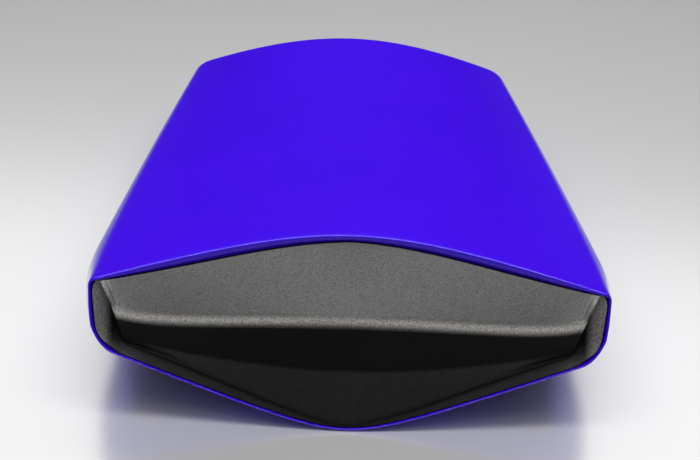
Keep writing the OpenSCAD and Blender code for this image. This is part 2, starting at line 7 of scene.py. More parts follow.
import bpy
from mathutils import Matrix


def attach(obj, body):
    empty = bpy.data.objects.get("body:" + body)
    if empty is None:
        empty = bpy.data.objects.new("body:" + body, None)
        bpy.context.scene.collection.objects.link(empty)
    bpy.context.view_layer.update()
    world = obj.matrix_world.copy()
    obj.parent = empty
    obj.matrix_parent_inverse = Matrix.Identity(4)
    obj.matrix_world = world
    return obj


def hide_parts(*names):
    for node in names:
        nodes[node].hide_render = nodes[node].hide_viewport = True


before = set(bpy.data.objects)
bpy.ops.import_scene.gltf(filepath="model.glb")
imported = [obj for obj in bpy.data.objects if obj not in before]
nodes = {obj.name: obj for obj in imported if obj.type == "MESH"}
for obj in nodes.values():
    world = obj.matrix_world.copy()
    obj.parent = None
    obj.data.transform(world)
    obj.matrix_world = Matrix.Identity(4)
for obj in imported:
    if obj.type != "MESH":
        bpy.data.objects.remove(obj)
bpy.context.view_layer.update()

# %% Tools
from math import radians
import bpy
import bmesh
import numpy as np
from mathutils import Matrix, Vector

MM = 0.001
BODY = "root"
BACKWARD = np.array([0.0, 1.0, 0.0])


def in_scene(name, data):
    made = bpy.data.objects.new(name, data)
    bpy.context.scene.collection.objects.link(made)
    return made


# %% [markdown]
# ## The shell's driving sizes
# A moulding like this is drawn from a few curves: the crease on each side, the crown of the roof
# between them, and the V of the keel. The same curves are written here as in the solid model, so
# that the fine mesh lies exactly where the solid is. They could be read off the solid's facets,
# but formulas give a surface that is smooth at any resolution, and a gloss paint shows every facet.

# %% Sizes of the shell, in millimetres
FRONT_W, REAR_W, CREASE_L, SIDE_BOW = 285.0, 222.0, 300.0, 4.5
ARCH_BACK, REAR_BULGE, CORNER_REACH = 20.0, 5.5, 10.0
CREASE_FRONT_Z, CREASE_REAR_Z, CREASE_DIP = 77.0, 52.0, 4.5
CROWN_FRONT, CROWN_REAR = 23.0, 22.0
CORNER_Z, CORNER_AHEAD, KEEL_AHEAD = 43.0, 16.0, 12.0
WALL, CREASE_REACH, KEEL_DEPTH = 3.0, 4.0, 26.0
SIDE_SWELL, SWELL_RUN, CORNER_SWELL, REAR_SWELL = 25.0, 60.0, 10.0, 5.0
FRONT_TUCK, RIM_TUCK, TUCK_POWER, FRONT_ROLL, REAR_ROLL = 5.5, 1.5, 4, 12.0, 4.0
EDGE_POWER, SLOPE_POWER = 1.5, 2
EDGE_REACH, LIP_MIN, LIP_MID, LIP_MAX, LIP_DEPTH = 1.0, 1.4, 3.2, 5.0, 3.5
FRONT_BEND, REAR_BEND, KEEL_BEND = 0.52, 1.08, 0.23
RETURN_DEPTH = LIP_DEPTH + LIP_MAX - LIP_MIN
FILLET_PART, WALL_PART, ROLL_PART = 3.0, 5.0, 3.0
LEVELS = FILLET_PART + WALL_PART + ROLL_PART
PROBE = 0.05
CORNER_START_Y = CREASE_L - CORNER_REACH
CORNER_END_X = REAR_W / 2 - CORNER_REACH


def mix(a, b, t):
    return a + (b - a) * t


def tent(s, bend):
    """0 in the middle and 1 at the edge, with a ridge that is rounded by its bend."""
    return (np.sqrt(s * s + bend * bend) - bend) / (np.sqrt(1 + bend * bend) - bend)


def points(x, y, z):
    """One array of places, from coordinates of any shapes that go together."""
    return np.stack(np.broadcast_arrays(x, y, z), -1).astype(float)


def unit(v):
    return v / np.linalg.norm(v, axis=-1, keepdims=True)


def bezier(a, b, c, t):
    """A curve from a to c that heads for b; t runs from 0 to 1."""
    t = np.asarray(t, float)
    t = t[..., None] if np.ndim(a) > np.ndim(t) or np.ndim(b) > np.ndim(t) else t
    return (1 - t) ** 2 * a + 2 * t * (1 - t) * b + t * t * c


print("shell:", FRONT_W, "mm wide in front,", CREASE_L, "mm along its creases")

# %% [markdown]
# ## Roof and skirt as functions
# The roof is a height above the plan: the crease's own height, plus a crown that dies out at the
# creases. The skirt is a section that rolls over the crease, swells down the wall and tucks under
# at the bottom. Subdivision of a coarse cage would give a similar form, but it pulls corners in by
# an amount that is hard to foresee, so the section is evaluated directly.

# %% Roof and skirt


def half_w(y):
    """Half the width between the creases, which bow out a little."""
    u = y / CREASE_L
    return mix(FRONT_W, REAR_W, u) / 2 + 4 * SIDE_BOW * u * (1 - u)


def crease_z(y):
    """The height of the creases, which sag a little between their ends."""
    u = y / CREASE_L
    return mix(CREASE_FRONT_Z, CREASE_REAR_Z, u) - 4 * CREASE_DIP * u * (1 - u)


def roof_z(x, y):
    """The height of the roof: the crease's height and the crown."""
    u = y / CREASE_L
    crown = mix(CROWN_FRONT, CROWN_REAR, u)
    return crease_z(y) + crown * (1 - tent(x / half_w(y), mix(FRONT_BEND, REAR_BEND, u)))


def on_roof(x, y, inset):
    """Places on the roof, moved down along its normals by an inset."""
    normal = unit(points(roof_z(x - PROBE, y) - roof_z(x + PROBE, y),
                         roof_z(x, y - PROBE) - roof_z(x, y + PROBE), 2 * PROBE))
    return points(x, y, roof_z(x, y)) - np.asarray(inset)[..., None] * normal


def arch_y(s):
    """The roof's front edge, which curves back in the middle."""
    return ARCH_BACK * (1 - tent(s, FRONT_BEND))


def rear_y(x):
    """The roof's rear edge, which bulges back in the middle."""
    return CREASE_L + REAR_BULGE * (1 - tent(2 * x / REAR_W, REAR_BEND))


def rearward(y):
    """0 at the lower front corners and 1 where the rear corners start."""
    return np.clip((y + CORNER_AHEAD) / (CORNER_START_Y + CORNER_AHEAD), 0, 1)


def edge_z(y):
    """The height of the lower edge, which rises towards the front corners."""
    return CORNER_Z * (1 - rearward(y)) ** EDGE_POWER


def section(x, y, out_x, out_y, swell, level):
    """The skirt over the crease, down the wall and under its rolled edge, for arrays of places."""
    to_rear = rearward(y)
    tuck = mix(RIM_TUCK, FRONT_TUCK, (1 - to_rear) ** TUCK_POWER)
    roll = mix(FRONT_ROLL, REAR_ROLL, to_rear)
    slope = np.arctan(CORNER_Z / (FRONT_W / 2)) * (1 - to_rear) ** SLOPE_POWER
    out = points(out_x, out_y, 0)
    crease = points(x, y, roof_z(x, y))
    start_x, start_y = x - CREASE_REACH * out_x, y - CREASE_REACH * out_y
    start = points(start_x, start_y, roof_z(start_x, start_y))
    foot = points(x, y, edge_z(y)) - tuck[..., None] * out
    belly = (crease + foot) / 2 + np.asarray(swell)[..., None] * out
    height = crease[..., 2] - foot[..., 2]
    first, last = CREASE_REACH / height, 1 - roll / height
    tip = foot - roll[..., None] * (np.cos(slope)[..., None] * out + points(0, 0, np.sin(slope)))
    low = LEVELS - ROLL_PART
    over = bezier(start, crease, bezier(crease, belly, foot, first), level / FILLET_PART)
    down = bezier(crease, belly, foot, mix(first, last, (level - FILLET_PART) / WALL_PART))
    under = bezier(bezier(crease, belly, foot, last), foot, tip, (level - low) / ROLL_PART)
    pick = np.asarray(level)[..., None]
    return np.where(pick <= FILLET_PART, over, np.where(pick <= low, down, under))


def swell_at(y, level):
    """The side walls start straight at the front edge, which leans forward, and swell behind it."""
    low = (level - FILLET_PART / 2) / (LEVELS - ROLL_PART - FILLET_PART / 2)
    behind = np.clip((y + CORNER_AHEAD * np.clip(low, 0, 1)) / SWELL_RUN, 0, 1)
    return mix(SIDE_SWELL, CORNER_SWELL, rearward(y)) * np.sin(np.pi / 2 * behind)


def side_section(y, level):
    """The right-hand side's skirt at a distance y along the crease."""
    y, level = np.broadcast_arrays(np.asarray(y, float), np.asarray(level, float))
    return section(half_w(y), y, np.ones_like(y), np.zeros_like(y), swell_at(y, level), level)


def rear_section(w, level):
    """Round the rear corner for w from 0 to 1, then along the rear to its middle at w = 2."""
    w, level = np.broadcast_arrays(np.asarray(w, float), np.asarray(level, float))
    u = np.minimum(w, 1)
    rear_x = CORNER_END_X * (2 - w)
    x = np.where(w <= 1, bezier(half_w(CORNER_START_Y), REAR_W / 2, CORNER_END_X, u), rear_x)
    y = np.where(w <= 1, bezier(CORNER_START_Y, CREASE_L, rear_y(CORNER_END_X), u), rear_y(rear_x))
    turn = u * np.pi / 2
    swell = mix(CORNER_SWELL, REAR_SWELL, u)
    return section(x, y, np.cos(turn), np.where(w >= 1, 1.0, np.sin(turn)), swell, level)


def inset_from(surface, a, level, inset):
    """The surface moved inward by an inset, along normals taken from its own slopes."""
    p = surface(a, level)
    normal = unit(np.cross(surface(a, level + PROBE) - surface(a, level - PROBE),
                           surface(a + PROBE, level) - surface(a - PROBE, level)))
    offset = p - np.asarray(inset)[..., None] * normal
    return np.where(np.asarray(level)[..., None] == 0, on_roof(p[..., 0], p[..., 1], inset), offset)


def front_y(level):
    """The front edge of the side walls, which leans forward towards the lower corner."""
    fall = (crease_z(0.0) - side_section(0.0, level)[..., 2]) / (crease_z(0.0) - CORNER_Z)
    return -CORNER_AHEAD * np.maximum(0, fall)


print("roof apex", round(float(roof_z(0.0, ARCH_BACK)), 1), "mm above the floor")

# %% [markdown]
# ## From functions to patches
# The shell's skin is made of rectangular patches that share their edges: the roof, the two halves
# of the skirt, the keel strip, and the return round the opening. Each is a grid of points. They
# could be one long list of faces, but patches keep the flow of the mesh along the creases, which
# is what keeps highlights straight.

# %% Stations, columns and patches
STRIP_ROWS, SIDE_ROWS, CORNER_STEPS, REAR_COLUMNS = 8, 62, 12, 40
KEEL_COLUMNS, EDGE_POINTS, LIP_CRISP = 56, 7, 0.4
FILLET_POINTS, WALL_POINTS, ROLL_POINTS = 9, 21, 9
LEVEL_LIST = np.concatenate([np.linspace(0, FILLET_PART, FILLET_POINTS),
                             FILLET_PART + np.linspace(0, WALL_PART, WALL_POINTS)[1:],
                             LEVELS - ROLL_PART + np.linspace(0, ROLL_PART, ROLL_POINTS)[1:]])
# The drawing counts y from the creases' front ends; the frame counts it from the cowl's middle.
MIDDLE_Y = (rear_section(2.0, LEVEL_LIST)[:, 1].max() + float(front_y(LEVELS)) - KEEL_AHEAD) / 2


def skirt_grid(inset, deep):
    """Right half of the skirt: rows are stations from the front to the rear's middle."""
    level = LEVEL_LIST[None, :]
    fore = front_y(level)
    strip = np.concatenate([[deep], np.linspace(0, KEEL_DEPTH, STRIP_ROWS + 1)[2:]])[:, None] + fore
    along = np.linspace(0, 1, SIDE_ROWS - STRIP_ROWS + 1)[1:, None]
    rest = mix(fore + KEEL_DEPTH, CORNER_START_Y, along)
    side_y = np.concatenate([strip, rest])
    side = inset_from(side_section, side_y, level + 0 * side_y, inset)
    w = np.concatenate([np.linspace(0, 1, CORNER_STEPS + 1)[1:],
                        1 + np.linspace(0, 1, REAR_COLUMNS + 1)[1:]])
    rear = inset_from(rear_section, w[:, None] + 0 * level, level + 0 * w[:, None], inset)
    rear[-1, :, 0] = 0
    return np.concatenate([side, rear])


def flip(grid):
    """The same grid on the left-hand side."""
    return grid * np.array([-1.0, 1.0, 1.0])


def roof_grid(inset, deep):
    """Rows from the arch to the rear edge; the outer skin's plan, moved inward by the inset."""
    outer, edge = skirt_grid(0.0, deep)[:, 0], skirt_grid(inset, deep)[:, 0]
    mid_corner = SIDE_ROWS - 1 + CORNER_STEPS // 2
    rear = outer[mid_corner:]
    s = np.concatenate([-rear[:, 0], rear[-2::-1, 0]]) / rear[0, 0]
    rear_line = np.concatenate([rear[:, 1], rear[-2::-1, 1]])
    side = outer[:mid_corner + 1]
    share = side[:, 1:2] / side[-1, 1]
    y = mix(arch_y(s)[None, :], rear_line[None, :], share)
    x = s[None, :] * side[:, 0:1]
    x[0], y[0] = s * (half_w(arch_y(s) + deep) - CREASE_REACH), arch_y(s) + deep
    grid = on_roof(x, y, inset)
    grid[:, -1], grid[:, 0] = edge[:mid_corner + 1], flip(edge[:mid_corner + 1])
    grid[-1] = np.concatenate([flip(edge[mid_corner:]), edge[-2:mid_corner - 1:-1]])
    return grid, s


def keel_points(a, edge, tip_z):
    """Points of the V between two edges, whose tip lies ahead and low."""
    t = tent(a, KEEL_BEND)
    return points(a * edge[..., 0], edge[..., 1] - KEEL_AHEAD * (1 - t), mix(tip_z, edge[..., 2], t))


def keel_grid(skirt, inset):
    """The keel strip under the pad, from one side edge to the other."""
    a = np.linspace(-1, 1, 2 * KEEL_COLUMNS + 1)[None, :]
    return keel_points(a, skirt[:STRIP_ROWS, -1][:, None], inset)


def lip_w(s):
    """The width of the return under the arch, which changes along it."""
    return mix(mix(LIP_MID, LIP_MIN, s * s), LIP_MAX, np.sin(np.pi * np.abs(s)))


def strip_at(a, deep, inset):
    """A line across the keel strip, for a from -1 at the left edge to 1 at the right."""
    edge = inset_from(side_section, front_y(LEVELS) + deep, np.array(LEVELS), inset)
    return keel_points(a, edge, inset)


def ring(share, inset, deep, columns):
    """One turn round the opening's edge, inset by a share of the return's width."""
    low_inset = mix(inset, LIP_MIN, share)
    a = np.linspace(0, 1, KEEL_COLUMNS + 1)
    keel = strip_at(a, deep, low_inset)
    levels = LEVEL_LIST[::-1][1:-1]
    side = inset_from(side_section, front_y(levels) + deep, levels, np.full(len(levels), low_inset))
    y = arch_y(columns) + deep
    arch = on_roof(columns * (half_w(y) - CREASE_REACH), y, mix(inset, lip_w(columns), share))[::-1]
    return np.concatenate([keel, side, arch, flip(side[::-1]), flip(keel[::-1])])


def lip_grid(columns):
    """The rounded edge of the opening, the return's flat face, and its back as far as the wall."""
    turn = np.linspace(0, np.pi / 2, EDGE_POINTS)
    rows = [(0, EDGE_REACH * (1 - np.cos(t)), EDGE_REACH * (1 - np.sin(t))) for t in turn]
    rows += [(0.5, EDGE_REACH, 0), (1, 0, 0), (1, 0, LIP_CRISP), (1, 0, LIP_DEPTH)]
    rows += [(0, WALL, RETURN_DEPTH)]
    return np.stack([ring(share, inset, deep, columns) for share, inset, deep in rows])


outer_skirt, inner_skirt = skirt_grid(0.0, EDGE_REACH), skirt_grid(WALL, RETURN_DEPTH)
outer_roof, ROOF_S = roof_grid(0.0, EDGE_REACH)
inner_roof, _ = roof_grid(WALL, RETURN_DEPTH)
outer_keel, inner_keel = keel_grid(outer_skirt, 0.0), keel_grid(inner_skirt, WALL)
rim = np.stack([outer_skirt[STRIP_ROWS - 1:, -1], inner_skirt[STRIP_ROWS - 1:, -1]])
keel_rim = np.stack([outer_keel[-1], inner_keel[-1]])
print("roof grid", outer_roof.shape, "skirt grid", outer_skirt.shape)

# %% Patches to a mesh
WELD = 2e-6
FIRST, SECOND = 0, 1        # the numbers of a piece's materials


def patch_mesh(name, patches):
    """Weld grids of points, in millimetres, to one mesh; each patch has a material's number."""
    bm = bmesh.new()
    for grid, number in patches:
        rows, columns = grid.shape[:2]
        world = (grid - [0, MIDDLE_Y, 0]) * MM
        verts = [[bm.verts.new(world[i, j]) for j in range(columns)] for i in range(rows)]
        for i in range(rows - 1):
            for j in range(columns - 1):
                corners = (verts[i][j], verts[i][j + 1], verts[i + 1][j + 1], verts[i + 1][j])
                face = bm.faces.new(corners)
                face.material_index = number
                face.smooth = True
    bmesh.ops.remove_doubles(bm, verts=bm.verts, dist=WELD)
    bmesh.ops.dissolve_degenerate(bm, edges=bm.edges, dist=WELD / 2)
    bmesh.ops.recalc_face_normals(bm, faces=bm.faces)
    mesh = bpy.data.meshes.new(name)
    bm.to_mesh(mesh)
    bm.free()
    print(name, "has", len(mesh.polygons), "faces")
    return in_scene(name, mesh)


print("points nearer than", WELD / MM, "mm are welded")

# %% [markdown]
# ## The pad
# The pad is a hollow moulding that fills the opening. Its outer face runs from the arch forward to a
# ridge, down to a form line, and back to a valley, from which a sloping rim rises to the shell's own
# edge. One profile is drawn for each place across the opening, from the same few key points, and the
# profiles are laid side by side as a grid. A box with bevels could not follow the arch and the keel.

# %% Sizes of the pad, in millimetres
PAD_WALL, PAD_GAP, PAD_RECESS, PAD_EDGE = 2.5, 0.5, 0.8, 0.5
RIDGE_OUT_MID, RIDGE_OUT_END, RIM_FLAT_END, RIM_FLAT_TIP = 33.0, 12.0, 7.0, 2.0
RIDGE_MID, RIDGE_END, FORM_MID, FORM_END = 0.225, 0.3, 0.6, 0.76
FORM_OUT_MID, FORM_OUT_END, END_FACE, TOP_SHARE = 0.42, 0.1, 4.0, 0.985
RIM_SINK, FLAT_POWER = 3.5, 0.8
RIDGE_REACH, FORM_REACH, RIM_REACH, REACH_SHARE = 4.0, 4.0, 2.5, 0.45
RIDGE_POWER, END_POWER = 1.1, 12
FLAT_S = 1 - RIM_FLAT_END / (FRONT_W / 2)
FACE_S = FLAT_S - END_FACE / (FRONT_W / 2)
PAD_INSET = LIP_MIN + PAD_GAP
EDGE_TURN = np.linspace(1, 0, 6)        # 1 at the very edge, 0 where its rounding ends


def ease(t):
    """0 to 1 with a soft start and a soft end."""
    u = np.clip(t, 0, 1)
    return u * u * (3 - 2 * u)


def pad_top(s):
    """The pad's upper border, a gap below the return's edge."""
    y = arch_y(s) + PAD_RECESS
    return on_roof(s * (half_w(y) - CREASE_REACH), y, lip_w(s) + PAD_GAP)


def pad_end(share):
    """The pad's end border, a gap inside the shell's side edge."""
    level = LEVELS * share
    return inset_from(side_section, front_y(level) + PAD_RECESS, level, PAD_INSET + 0 * level)


def pad_base(s, share):
    """The pad's flat ground from arch to keel, drawn out to the shell's side at its two ends."""
    low, high, one = strip_at(s, PAD_RECESS, PAD_INSET), pad_top(s), np.ones_like(s)
    part = share[:, None]
    straight = mix(pad_top(one), strip_at(one, PAD_RECESS, PAD_INSET), part)
    swell = (np.abs(s) ** END_POWER)[:, None] * (pad_end(share) - straight)
    swell[:, 0] *= np.where(s < 0, -1, 1)
    return mix(high, low, part) + swell


def down_end(a, out):
    """The reach ahead of a key point: down the end face into the valley, then up the sloping rim."""
    valley = mix(out, -RIM_SINK, ease((a - FACE_S) / (FLAT_S - FACE_S)))
    return np.where(a < FLAT_S, valley, -RIM_SINK * (1 - a) / (1 - FLAT_S))


def top_s(s):
    """The face reaches the arch's corners almost, so that the end faces slant."""
    a = np.abs(s)
    over = np.where(a < FACE_S, TOP_SHARE * a / FACE_S, mix(TOP_SHARE, 1, (a - FACE_S) / (1 - FACE_S)))
    return np.sign(s) * over


def ahead(p, reach):
    """Places moved forward by a reach."""
    return p - reach[:, None] * BACKWARD


def pad_keys(s):
    """The key points of each profile: arch, ridge, form line, valley and keel."""
    a = np.abs(s)
    out = mix(RIDGE_OUT_MID, RIDGE_OUT_END, a ** RIDGE_POWER)
    tall = np.linalg.norm(pad_top(s) - strip_at(s, PAD_RECESS, PAD_INSET), axis=1)
    flat = 1 - mix(RIM_FLAT_TIP, RIM_FLAT_END, a ** FLAT_POWER) / tall
    sink = RIM_SINK * np.minimum(a ** FLAT_POWER, (1 - a) / (1 - FLAT_S))
    form_reach = down_end(a, out * mix(FORM_OUT_MID, FORM_OUT_END, a))
    ridge = ahead(pad_base(s, mix(RIDGE_MID, RIDGE_END, a)), down_end(a, out))
    form = ahead(pad_base(s, mix(FORM_MID, FORM_END, a)), form_reach)
    return [pad_top(top_s(s)), ridge, form, ahead(pad_base(s, flat), -sink), pad_base(s, 0 * s + 1)]


print("ridge in the middle", pad_keys(np.array([0.0]))[1].round(1))

# %% [markdown]
# The key points are joined by straight stretches and rounded turns. Rows crowd together at the
# borders, because there the surface turns back into the seam over a rounded edge. A bevel modifier
# could round it too, but it would have to be finer than the grid that it works on.

# %% The pad's outer face
FACE_COLUMNS, END_COLUMNS, FLANGE_COLUMNS = 56, 13, 9
FACE_STEPS, BORDER_STEPS, RIDGE_STEPS, FORM_STEPS, RIM_STEPS = 16, 6, 12, 8, 8


def stretch(a, b, count, edge_a=False, edge_b=False):
    """Rows from a to b without b; an edge starts or ends with rows that crowd towards it."""
    along = b - a
    length = np.linalg.norm(along, axis=1, keepdims=True)
    near = [PAD_EDGE * (1 - t) ** 2 / length for t in EDGE_TURN]
    first = near[-1] if edge_a else 0 * length
    last = 1 - near[-1] if edge_b else 1
    shares = [mix(first, last, t) for t in np.linspace(0, 1, count, endpoint=False)]
    if edge_a:
        shares = near[:-1] + shares
    if edge_b:
        shares += [1 - share for share in near[::-1]]
    return [a + share * along for share in shares]


def turn_round(before, at, after, reach, count):
    """A rounded turn at a key point, with the points where it starts and ends."""
    back = np.linalg.norm(before - at, axis=1, keepdims=True)
    on = np.linalg.norm(after - at, axis=1, keepdims=True)
    enter = at + np.minimum(reach, REACH_SHARE * back) * unit(before - at)
    leave = at + np.minimum(reach, REACH_SHARE * on) * unit(after - at)
    return enter, leave, [bezier(enter, at, leave, t) for t in np.linspace(0, 1, count, endpoint=False)]


near_end = 1 - PAD_EDGE * (1 - EDGE_TURN[::-1]) ** 2 / (FRONT_W / 2)
half_s = np.concatenate([np.linspace(0, FACE_S, FACE_COLUMNS), np.linspace(FACE_S, FLAT_S, END_COLUMNS)[1:],
                         np.linspace(FLAT_S, near_end[0], FLANGE_COLUMNS)[1:-1], near_end])
PAD_S = np.concatenate([-half_s[:0:-1], half_s])
keys = pad_keys(PAD_S)
ridge_in, ridge_out, ridge_rows = turn_round(keys[0], keys[1], keys[2], RIDGE_REACH, RIDGE_STEPS)
form_in, form_out, form_rows = turn_round(keys[1], keys[2], keys[3], FORM_REACH, FORM_STEPS)
rim_in, rim_out, rim_rows = turn_round(keys[2], keys[3], keys[4], RIM_REACH, RIM_STEPS)
upper_face = stretch(keys[0], ridge_in, FACE_STEPS, edge_a=True)
under_face, low_face = stretch(ridge_out, form_in, FACE_STEPS), stretch(form_out, rim_in, FACE_STEPS)
pad_rows = (upper_face + ridge_rows + under_face + form_rows + low_face + rim_rows
            + stretch(rim_out, keys[4], BORDER_STEPS, edge_b=True))
pad_flat = np.stack(pad_rows)


def border_turn(count):
    """The edge's rounding at both ends of a line of points."""
    turn = np.zeros(count)
    turn[:len(EDGE_TURN)], turn[-len(EDGE_TURN):] = EDGE_TURN, EDGE_TURN[::-1]
    return turn


edge_turn = np.maximum(border_turn(len(pad_flat))[:, None], border_turn(len(PAD_S))[None, :])
pad_outer = pad_flat + (PAD_EDGE * edge_turn ** 2)[..., None] * BACKWARD
print("pad's outer face", pad_outer.shape)

# %% [markdown]
# The pad's back follows its face at the thickness of its wall. Near the borders the offset turns
# until it points straight back, so that the border runs straight into the seam. A solidify modifier
# would offset the rounded edges too, and its border would lean into the shell.

# %% The pad's inner face
INNER_EASE = 3.0
down, across = np.gradient(pad_flat, axis=0), np.gradient(pad_flat, axis=1)
pad_normal = unit(np.cross(down, across))
from_top = np.linalg.norm(pad_flat - pad_flat[:1], axis=2)
from_bottom = np.linalg.norm(pad_flat - pad_flat[-1:], axis=2)
from_end = (1 - np.abs(PAD_S))[None, :] * FRONT_W / 2
inward = ease(np.minimum(np.minimum(from_top, from_bottom), from_end) / INNER_EASE)[..., None]
pad_inner = pad_flat + PAD_WALL * unit(mix(BACKWARD, -pad_normal, inward))
print("pad's inner face", pad_inner.shape)

# %% [markdown]
# ## What hangs inside
# Bosses, ribs and lugs are moulded in one with the shell. A boss is a turned form, so its profile is
# swept round an axis. A rib is a thin wall that follows the roof from below, with a rounded lower
# edge. A lug is a plate round a hole: it is swept round the hole too, out to its own outline.

# %% Turned and standing forms
BOSS_STEPS, POST_STEPS, FOOT_POINTS = 40, 32, 9


def lathe(x, y, z, profile, steps=BOSS_STEPS):
    """Profile rows of (radius, height) swept round an upright axis."""
    turn = np.linspace(0, 2 * np.pi, steps + 1)[None, :]
    r, h = np.array(profile, float).T[..., None]
    return points(x + r * np.cos(turn), y + r * np.sin(turn), z + h + 0 * turn)


def lathe_back(x, y, z, profile):
    """The same, round an axis that runs along y; heights are distances behind the place."""
    grid = lathe(0, 0, 0, profile, POST_STEPS)
    return points(x + grid[..., 0], y + grid[..., 2], z + grid[..., 1])


def rib_grid(line, low, across):
    """A wall from an upper line down to a low height; across is half its thickness, as a vector."""
    half = np.linalg.norm(across)
    foot = line.copy()
    foot[:, 2] = low + half
    rounded = [foot - across * np.cos(t) - [0, 0, half * np.sin(t)] for t in np.linspace(0, np.pi, FOOT_POINTS)]
    return np.stack([line - across] + rounded + [line + across])


BOSS_D, INSERT_D, INSERT_DEEP, RIB_T, RIB_H = 14.0, 8.0, 14.0, 2.5, 12.0
FLARE, FLARE_POINTS, OVERLAP, NEAR_AXIS = 2.0, 6, 0.5, 0.01
EDGE_TALL, EDGE_MIDDLE, MOUTH = 0.6, 0.2, 0.4
CROSS_POINTS, LONG_POINTS = 61, 81
# For each pair of bosses: x and y, the height of the seat, and the lower edge of the rib between them.
STRIKER = (31.0, 62.0, 46.0, 60.0)
TONGUE = (25.0, 236.0, 30.0, 44.0)
DAMPER_X, DAMPER_SEAT_Z, DAMPER_Y = 62.0, 34.0, (100.0, 196.0)
DAMPERS = [(DAMPER_X, y, DAMPER_SEAT_Z, float(roof_z(DAMPER_X, y)) - WALL - RIB_H) for y in DAMPER_Y]


def boss_profile(tall):
    """From the flare at the roof down the boss, round its lower edge and up the insert's hole."""
    outer, hole = BOSS_D / 2, INSERT_D / 2
    flare = [(outer + FLARE * (1 - np.sin(t)), tall - WALL / 2 - FLARE * (1 - np.cos(t)) + OVERLAP)
             for t in np.linspace(0, np.pi / 2, FLARE_POINTS)]
    edge = [(outer, EDGE_TALL), (outer - EDGE_MIDDLE, EDGE_MIDDLE), (outer - EDGE_TALL, 0)]
    return flare + edge + [(hole + MOUTH, 0), (hole, MOUTH), (hole, INSERT_DEEP), (NEAR_AXIS, INSERT_DEEP)]


inside = []
for x, y, seat, low in [STRIKER, TONGUE, *DAMPERS]:
    for side in (-1, 1):
        inside.append(lathe(side * x, y, seat, boss_profile(float(roof_z(x, y)) - WALL / 2 - seat)))
    place = np.linspace(-x, x, CROSS_POINTS)
    line = points(place, y, roof_z(place, y) - WALL / 2)
    inside.append(rib_grid(line, low, np.array([0, RIB_T / 2, 0])))
for side in (-1, 1):
    place = np.linspace(STRIKER[1], TONGUE[1], LONG_POINTS)
    roof = roof_z(STRIKER[0], place)
    line = points(side * STRIKER[0], place, roof - WALL / 2)
    inside.append(rib_grid(line, roof - WALL - RIB_H, np.array([RIB_T / 2, 0, 0])))
print(len(inside), "forms hang from the roof")

# %% Lugs on the keel strip, and the pad's posts that reach them
FIXING_X = (-98.0, -42.0, 42.0, 98.0)
FIX_RISE, LUG_W, LUG_T, SET_BACK, POST_D, SCREW_D = 16.0, 14.0, 3.0, 15.0, 8.0, 4.0
SCREW_PLAY, HOLE_BREAK, CORNER_BREAK, BORE_PLAY, BORE_DEEP = 0.3, 0.2, 0.4, 0.1, 8.0
LUG_POINTS, TINY, FAR = 65, 1e-6, 1e6


def keel_at(x, deep):
    """The place on the keel strip's outer face under x."""
    edge = inset_from(side_section, front_y(LEVELS) + deep, np.array(LEVELS), 0.0)
    return keel_points(np.asarray(x) / edge[0], edge, 0.0)


def lug_grid(x, y, z):
    """A plate round a hole, out to straight sides, a round top and the sloping keel strip."""
    turn = np.linspace(0, 2 * np.pi, LUG_POINTS)
    out_x, out_z = np.cos(turn), np.sin(turn)
    rise = (keel_at(x + 1, SET_BACK)[2] - keel_at(x - 1, SET_BACK)[2]) / 2
    ground = keel_at(x, SET_BACK)[2] + WALL / 2 - z
    down = out_z - rise * out_x
    to_side = LUG_W / 2 / np.maximum(np.abs(out_x), TINY)
    to_ground = np.where(down < -TINY, ground / np.minimum(down, -TINY), FAR)
    reach = np.where(out_z >= 0, LUG_W / 2, np.minimum(to_side, to_ground))
    hole, near = SCREW_D / 2 + SCREW_PLAY, reach - CORNER_BREAK
    rows = [(hole, HOLE_BREAK), (hole + HOLE_BREAK, 0), (near, 0), (reach, CORNER_BREAK),
            (reach, LUG_T - CORNER_BREAK), (near, LUG_T), (hole, LUG_T), (hole, HOLE_BREAK)]
    return np.stack([points(x + r * out_x, y + deep, z + r * out_z) for r, deep in rows])


posts = []
pad_half = float(strip_at(np.array([1.0]), PAD_RECESS, PAD_INSET)[0, 0])
bore = SCREW_D / 2 + BORE_PLAY
for x in FIXING_X:
    lug_y, lug_z = float(keel_at(x, 0)[1]) + SET_BACK, float(keel_at(x, SET_BACK)[2]) + FIX_RISE
    inside.append(lug_grid(x, lug_y, lug_z))
    key = [line[0] for line in pad_keys(np.array([abs(x) / pad_half]))]
    upper, lower = (key[1], key[2]) if lug_z > key[2][2] else (key[2], key[3])
    face_y = mix(upper[1], lower[1], (upper[2] - lug_z) / (upper[2] - lower[2]))
    start = face_y + PAD_WALL / 2
    long = lug_y - start
    posts.append(lathe_back(x, start, lug_z, [
        (POST_D / 2, 0), (POST_D / 2, long - CORNER_BREAK), (POST_D / 2 - CORNER_BREAK, long),
        (bore, long), (bore, long - BORE_DEEP)]))
print("posts reach back", round(long, 1), "mm at the outer fixings")

# %% [markdown]
# ## The three moulded pieces
# The shell's skin carries two finishes: gloss paint outside, and the bare moulding inside, where a
# little paint mist always drifts round the lower edge. The mist is written on the mesh as a number
# from 0 to 1 for each point, which the material reads later. A painted mask image would need UVs.

# %% Painted shell
MIST_MM = 14.0
painted = [outer_roof, outer_skirt, flip(outer_skirt), outer_keel, lip_grid(ROOF_S)]
unpainted = [inner_roof, inner_skirt, flip(inner_skirt), inner_keel]
shell = patch_mesh("painted_shell", [(grid, FIRST) for grid in painted]
                   + [(grid, SECOND) for grid in unpainted]
                   + [(grid, FIRST) for grid in (rim, flip(rim), keel_rim)])
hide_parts("cowl_shell")
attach(shell, BODY)


def places_of(piece):
    """A piece's points as x, y and z in millimetres, where the sizes above are counted from."""
    flat = np.empty(len(piece.data.vertices) * 3, np.float32)
    piece.data.vertices.foreach_get("co", flat)
    x, y, z = flat.reshape(-1, 3).T / MM
    return x, y + MIDDLE_Y, z


